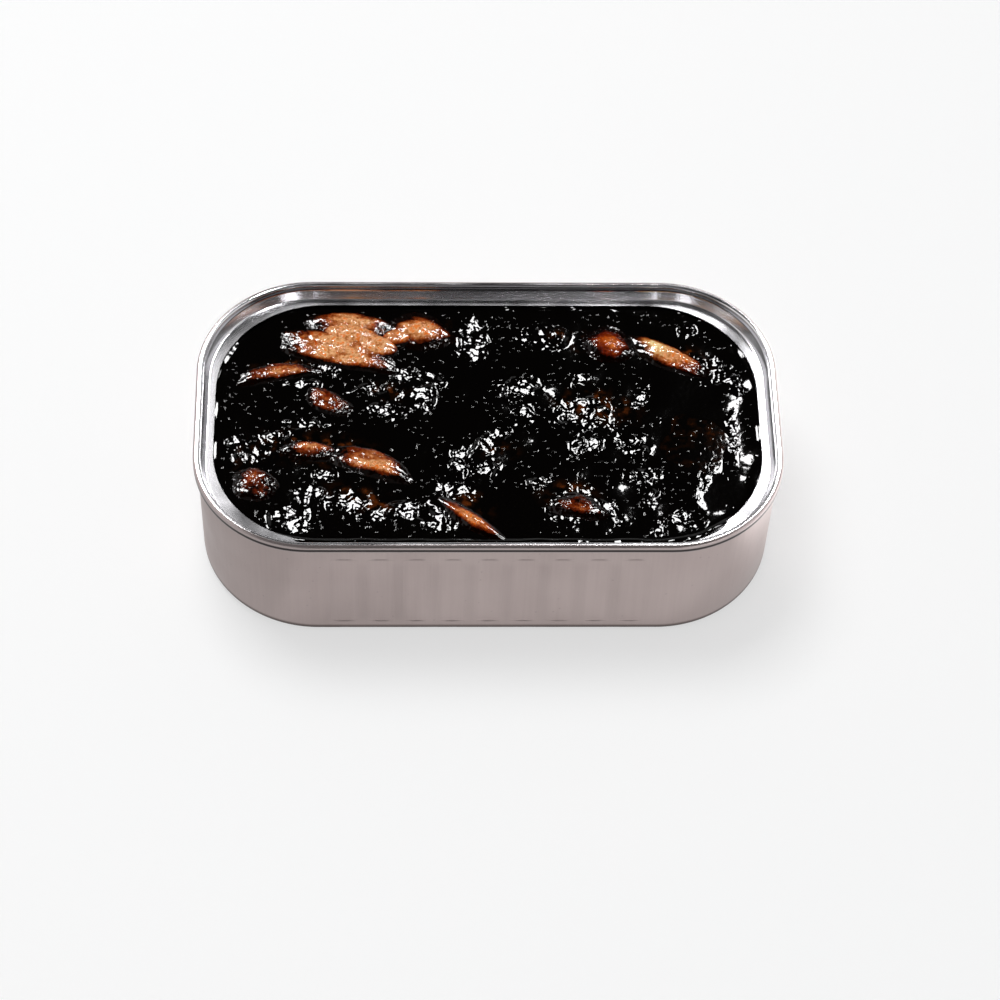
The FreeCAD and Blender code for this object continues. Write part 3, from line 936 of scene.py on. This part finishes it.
# %% Cling to the edge
cling_right, cling_left = 0.42 * mm, 0.25 * mm
cling_grain, cling_reach = 5.0 * mm, 0.6 * mm
creep_height, creep_reach = 0.95 * mm, 0.5 * mm
creep_middle = 3.5 * mm             # along the near side, from the middle of the tin
creep_full, creep_end = 25.0 * mm, 44.0 * mm
drop_start, drop_length = 1.5 * mm, 0.4 * mm

uneven = np.array([0.5 + noise.noise(Vector((x, y, 0.0)) / cling_grain) for x, y in surface[:, :2]])
cling = np.where(surface[:, 0] > 0, cling_right, cling_left) * np.clip(2.0 * uneven - 0.55, 0.05, 1.0)
near_side = (surface[:, 1] < 0) * fade(np.abs(surface[:, 0] - creep_middle), creep_full, creep_end)
past_edge = np.clip((-edge_room - drop_start * near_side) / drop_length, 0.0, 1.0)
creep = np.exp(-(np.maximum(edge_room, 0.0) / creep_reach) ** 2) - 0.6 * past_edge
surface[:, 2] += cling * np.exp(-np.maximum(edge_room, 0.0) / cling_reach)
surface[:, 2] += creep_height * np.minimum(2.5 * near_side, 1.0) * creep
where[top] = surface
set_places(sauce, where)
print("sauce up to %.2f mm" % (surface[:, 2].max() * 1000))

# %% [markdown]
# ## Rolls and knobs
# Broad rolls run over the whole sauce and small knobs over the lumps. They are clouds, the
# smoothest of the textures, pushed up by a modifier that a vertex group holds back.

# %% Rolls and knobs
def weigh(piece, group, chosen, amounts):
    """Write a vertex group: amounts between 0 and 1 for the chosen vertices."""
    made = piece.vertex_groups.new(name=group)
    steps = np.round(np.clip(amounts, 0.0, 1.0) * 40).astype(int)
    for step in range(1, 41):
        made.add([int(index) for index in chosen[steps == step]], step / 40, "REPLACE")


def displace(piece, name, grain, height, group):
    """Push a piece up and down by clouds of a given size, as far as a group lets it."""
    texture = bpy.data.textures.new(name, "CLOUDS")
    texture.noise_scale = grain
    texture.noise_depth = 0
    push = piece.modifiers.new(name, "DISPLACE")
    push.texture = texture
    push.texture_coords = "LOCAL"
    push.direction = "Z"
    push.strength = height
    push.mid_level = 0.5
    push.vertex_group = group
    apply_all(piece)
    bpy.data.textures.remove(texture)


weigh(sauce, "rolling", top, inland * off_squid * (0.25 + 0.75 * stirred))
weigh(sauce, "knobbly", top, inland * knobbly)
displace(sauce, "rolls", 5.0 * mm, 0.40 * mm, "rolling")
displace(sauce, "knobs", 1.7 * mm, 0.26 * mm, "knobbly")
heights = places(sauce)[:, 2]
print("sauce from %.2f to %.2f mm" % (heights.min() * 1000, heights.max() * 1000))



# %% [markdown]
# ## What the ink finish reads
# The finish can't know where a lump or a pool is, so the same shares are written into the
# mesh, one number for each vertex: thin brown film, grain and beads. Then the sheet takes
# the place of its solid.

# %% Values for the ink finish
def write_value(piece, name, values):
    """Store one number for each vertex, for the material to read."""
    made = piece.data.attributes.new(name, "FLOAT", "POINT")
    made.data.foreach_set("value", np.asarray(values, dtype=np.float32))


thin_film, graininess, beads = np.zeros((3, len(where)))
film = np.zeros(len(top))
for patch in films:
    film = np.maximum(film, fade(oval(surface, *patch), 0.3, 1.2))
thin_film[top] = film * inland
graininess[top] = 0.10 + (0.85 * grainy - 0.20 * knobbly) * inland
beads[top] = stirred * inland
write_value(sauce, "thin_film", thin_film)
write_value(sauce, "graininess", graininess)
write_value(sauce, "beads", beads)

pick_only(sauce)
bpy.ops.object.shade_smooth()
sauce.data.materials.clear()
sauce.data.materials.append(ink)
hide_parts("ink_sauce")
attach(sauce, "root")
print("brown film over %d%% of the top" % (100 * np.mean(film > 0.5)))

# %% [markdown]
# ## The flesh of the squid
# Cooked squid is pale inside and tan to orange on its skin, mottled and flecked, and the sauce stains it
# brown and then black where it laps over. The same stain also carries painted shade: darker lower down, in
# creases and on the side that faces the near side. The pale patches are partly a painted highlight of light
# glowing through the flesh. Three ramps on one mottle give the colours, and values in the mesh choose
# between them and lay the stain and painted shade on top.

# %% Squid finish
def squid_finish():
    """Cooked squid: tan flesh mottled orange and brown, with pale patches that are partly a painted
    highlight, stained black by the sauce and darkened by painted shade.
    """
    finish, tree, shader, place = solid_finish("squid_flesh")
    shader.inputs["Roughness"].default_value = 0.10
    shader.inputs["IOR"].default_value = 1.28
    shader.inputs["Subsurface Weight"].default_value = 0.15
    shader.inputs["Subsurface Radius"].default_value = (1.0, 0.45, 0.2)
    shader.inputs["Subsurface Scale"].default_value = 0.6 * mm
    mottle = clouds(tree, place, Scale=1300.0, Detail=4.0, Roughness=0.7)
    tan = ramp(tree, mottle, [(0.30, (0.26, 0.062, 0.012)), (0.41, (0.52, 0.180, 0.052)),
                              (0.52, (0.76, 0.37, 0.155)), (0.63, (0.95, 0.67, 0.42))])
    orange = ramp(tree, mottle, [(0.32, (0.16, 0.022, 0.003)), (0.48, (0.52, 0.110, 0.010)),
                                 (0.64, (0.72, 0.22, 0.035))])
    # partly a painted highlight: the pale patch stands in for light glowing through the flesh
    pale = ramp(tree, mottle, [(0.30, (0.64, 0.22, 0.035)), (0.46, (0.88, 0.52, 0.18)),
                               (0.60, (0.98, 0.82, 0.46))])
    flecks = ramp(tree, clouds(tree, place, Scale=1300.0, Detail=1.0), [(0.575, 0.0), (0.635, 0.95)])
    skin = mix(tree, written(tree, "orangeness"), tan, orange)
    flecked = mix(tree, flecks, skin, (0.74, 0.160, 0.006))
    flesh = mix(tree, written(tree, "paleness"), flecked, pale)
    edge = clouds(tree, place, Scale=1600.0, Detail=4.0, Roughness=0.6)
    edge = calculate(tree, "MULTIPLY_ADD", edge, 0.5, -0.25)
    # the stain is the sauce and also painted shade on the lower parts, in creases and on the near side
    stain_and_shade = ramp(tree, calculate(tree, "ADD", edge, written(tree, "ink_cover_and_shade")),
                 [(0.12, (1.0, 1.0, 1.0)), (0.34, (0.58, 0.35, 0.20)),
                  (0.58, (0.20, 0.062, 0.018)), (0.84, (0.004, 0.002, 0.0015))])
    grain = clouds(tree, place, Scale=1900.0, Detail=0.5)
    grain = calculate(tree, "MULTIPLY", grain, written(tree, "graininess"))
    tree.links.new(mix(tree, 1.0, flesh, stain_and_shade, "MULTIPLY"), shader.inputs["Base Color"])
    add_bump(tree, shader, grain, 1.0, grain_depth)
    return finish


squid_flesh = squid_finish()
print("finish:", squid_flesh.name)

# %% [markdown]
# ## The pieces of squid
# Each piece starts as a copy of its own solid, so that it lies where the frame says. The copy is merged,
# remeshed into even small squares and pushed in and out by folds, wrinkles and creases that run along it.
# Sculpted by hand, thirteen pieces would take a day and come out different each time. What its finish reads
# is written into each piece: how much sauce and painted shade cover it, how orange and how pale it is, and
# how grainy. One piece lies just under the sauce and wears the sauce's own finish.

# %% Looks of the pieces
# for each piece: how bare of sauce and painted shade it is, how orange, how pale (partly a painted
# highlight) and where along it (-1 to 1), and how wrinkled
squid_looks = {
    "squid_01": (0.78, 0.05, 0.05, 0.0, 1.0), "squid_02": (0.74, 0.10, 0.10, 0.0, 1.0),
    "squid_03": (0.74, 0.25, 0.10, -0.3, 1.0), "squid_04": (0.56, 0.20, 0.0, 0.0, 1.0),
    "squid_05": (0.42, 0.35, 0.0, 0.0, 1.0), "squid_06": (0.72, 0.10, 0.0, 0.0, 1.0),
    "squid_07": (0.64, 0.30, 0.0, 0.0, 1.0), "squid_08": (0.32, 0.55, 0.0, 0.0, 1.0),
    "squid_09": (0.78, 0.60, 0.0, 0.0, 0.5), "squid_10": (0.38, 0.45, 0.0, 0.0, 1.0),
    "squid_11": (0.60, 1.00, 0.0, 0.0, 1.0), "squid_12": (0.86, 0.50, 1.0, -0.42, 0.8),
}
drowned_name = "squid_13"
print(len(squid_looks), "bare pieces and", drowned_name, "under the sauce")

# %% Folds, wrinkles and values
squid_grid = 0.26 * mm
# sizes of the grain along, across and up a piece
fold_grain = np.array((3.0, 1.5, 1.5)) * mm
wrinkle_grain = np.array((1.0, 0.6, 0.6)) * mm
crease_grain = np.array((6.0, 1.9, 3.0)) * mm
fold_height, wrinkle_height, crease_depth = 0.14, 0.08, 0.06     # in mm


def grain_at(where, size, shift):
    """Smooth noise between about -1 and 1 at each place, with grains of a given size."""
    return np.array([noise.noise(Vector(place)) for place in where / size + shift])


def lengthwise(where):
    """Places turned to run along, across and up a piece, from its middle."""
    flat = where[:, :2] - where[:, :2].mean(axis=0)
    along = np.linalg.svd(flat, full_matrices=False)[2][0]
    along = along if along[0] > 0 else -along
    across = np.array((-along[1], along[0]))
    return np.column_stack((flat @ along, flat @ across, where[:, 2]))


def seat(piece, finish):
    """Smooth a piece of squid, give it its finish and join it to the frame."""
    pick_only(piece)
    bpy.ops.object.shade_smooth()
    piece.data.materials.append(finish)
    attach(piece, "root")
    return piece


def finish_flesh(piece, number, look):
    """Crease a piece of squid, write what its finish reads, and seat it."""
    bareness, orangeness, paleness, pale_place, wrinkled = look
    where = places(piece)
    local = lengthwise(where)
    folds = grain_at(local, fold_grain, number)
    wrinkles = grain_at(local, wrinkle_grain, number + 0.5)
    crease = np.exp(-(grain_at(local, crease_grain, number + 0.25) / 0.07) ** 2)
    normals = np.empty(len(where) * 3)
    piece.data.vertex_normals.foreach_get("vector", normals)
    normals = normals.reshape(-1, 3)
    push = fold_height * folds + wrinkle_height * wrinkles - crease_depth * crease
    moved = where + normals * (push * wrinkled * mm)[:, None]
    set_places(piece, moved)

    over = np.clip((moved[:, 2] - ink_level) / (where[:, 2].max() - ink_level), 0.0, 1.0)
    patches = 0.30 * grain_at(where, 3.6 * mm, number) + 0.14 * grain_at(where, 1.1 * mm, number)
    near_face_shade = np.maximum(-normals[:, 1], 0.0)
    # less sauce higher up, more in the creases; the same value also paints shade, darker lower down, in the
    # creases and on the face that looks to the near side
    cover_and_shade = (1.10 - 1.60 * bareness * over ** 1.5 + patches * np.minimum(3 * over, 1.0)
             + 0.10 * crease + 0.75 * near_face_shade ** 2)
    along = local[:, 0] / np.abs(local[:, 0]).max()
    wet = np.clip(0.6 + 1.8 * grain_at(where, 2.2 * mm, number + 0.7), 0.2, 1.5)
    write_value(piece, "ink_cover_and_shade", np.clip(cover_and_shade, 0.0, 1.0))
    write_value(piece, "orangeness", np.clip(orangeness + 0.5 * patches, 0.0, 1.0))
    # a pale patch along the piece, partly pale flesh and partly a painted highlight
    write_value(piece, "paleness", paleness * np.exp(-((along - pale_place) / 0.28) ** 2))
    write_value(piece, "graininess", wrinkled * wet)
    return seat(piece, squid_flesh)


def drown(piece):
    """Flatten a piece that lies just under the sauce and give it the sauce's finish."""
    where = places(piece)
    where[:, 2] -= 0.70 * np.maximum(where[:, 2] - ink_level, 0.0)
    set_places(piece, where)
    for name, value in (("thin_film", 0.55), ("graininess", 0.12), ("beads", 0.5)):
        write_value(piece, name, np.full(len(where), value))
    return seat(piece, ink)


# %% Squid pieces
squid_depth = 2.6 * mm              # how far a piece reaches under the still sauce
weld = 0.002 * mm


def squid_piece(name):
    """A detailed piece of squid in the place of its solid."""
    piece = bpy.data.objects.new(name + "_flesh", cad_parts[name].data.copy())
    bpy.context.scene.collection.objects.link(piece)
    pick_only(piece)
    piece.data.materials.clear()
    bpy.ops.object.mode_set(mode="EDIT")
    bpy.ops.mesh.select_all(action="SELECT")
    bpy.ops.mesh.remove_doubles(threshold=weld)
    bpy.ops.mesh.bisect(plane_co=(0.0, 0.0, ink_level - squid_depth), plane_no=(0.0, 0.0, 1.0),
                        use_fill=True, clear_inner=True)
    bpy.ops.object.mode_set(mode="OBJECT")
    bpy.ops.mesh.customdata_custom_splitnormals_clear()
    piece.data.remesh_voxel_size = squid_grid
    bpy.ops.object.voxel_remesh()
    smooth = piece.modifiers.new("soften", "SMOOTH")
    smooth.iterations = 4
    apply_all(piece)
    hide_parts(name)
    if name == drowned_name:
        return drown(piece)
    return finish_flesh(piece, int(name[-2:]), squid_looks[name])


squid = [squid_piece(name) for name in squid_names]
print("squid:", sum(triangles(piece) for piece in squid), "triangles in", len(squid), "pieces")

# %% [markdown]
# ## Tips between the pieces
# At the back left the sauce parts one large piece of flesh into several. Small tips join
# them there. No solid stands for a tip, so each starts as a ball, drawn out and turned.

# %% Squid tips
# number: x, y, length, width, height in mm, heading in degrees, and its look
squid_tips = {
    1: (-20.3, 17.6, 9.0, 5.2, 1.25, -25, (1.0, 0.15, 0.05, 0.0, 1.0)),
    3: (-24.6, 19.8, 11.0, 5.0, 1.45, -12, (1.15, 0.15, 0.05, 0.0, 1.0)),
    2: (-16.3, 19.2, 6.0, 4.4, 1.2, 10, (0.85, 0.35, 0.0, 0.0, 1.0)),
}
tip_grain_shift = 20                # gives the tips wrinkles of their own


def squid_tip(number, x, y, length, width, height, heading, look):
    """A small tip of squid that joins two pieces, shaped from a ball."""
    bpy.ops.object.select_all(action="DESELECT")
    bpy.ops.mesh.primitive_ico_sphere_add(subdivisions=5, radius=1.0,
                                          location=(x * mm, y * mm, ink_level))
    tip = bpy.context.object
    tip.name = "squid_tip_%d" % number
    tip.scale = (length * mm / 2, width * mm / 2, height * mm)
    tip.rotation_euler.z = math.radians(heading)
    bpy.ops.object.transform_apply(location=True, rotation=True, scale=True)
    tip.data.remesh_voxel_size = squid_grid
    bpy.ops.object.voxel_remesh()
    return finish_flesh(tip, tip_grain_shift + number, look)


tips = [squid_tip(number, *shape) for number, shape in squid_tips.items()]
print("tips:", sum(triangles(tip) for tip in tips), "triangles in", len(tips), "tips")
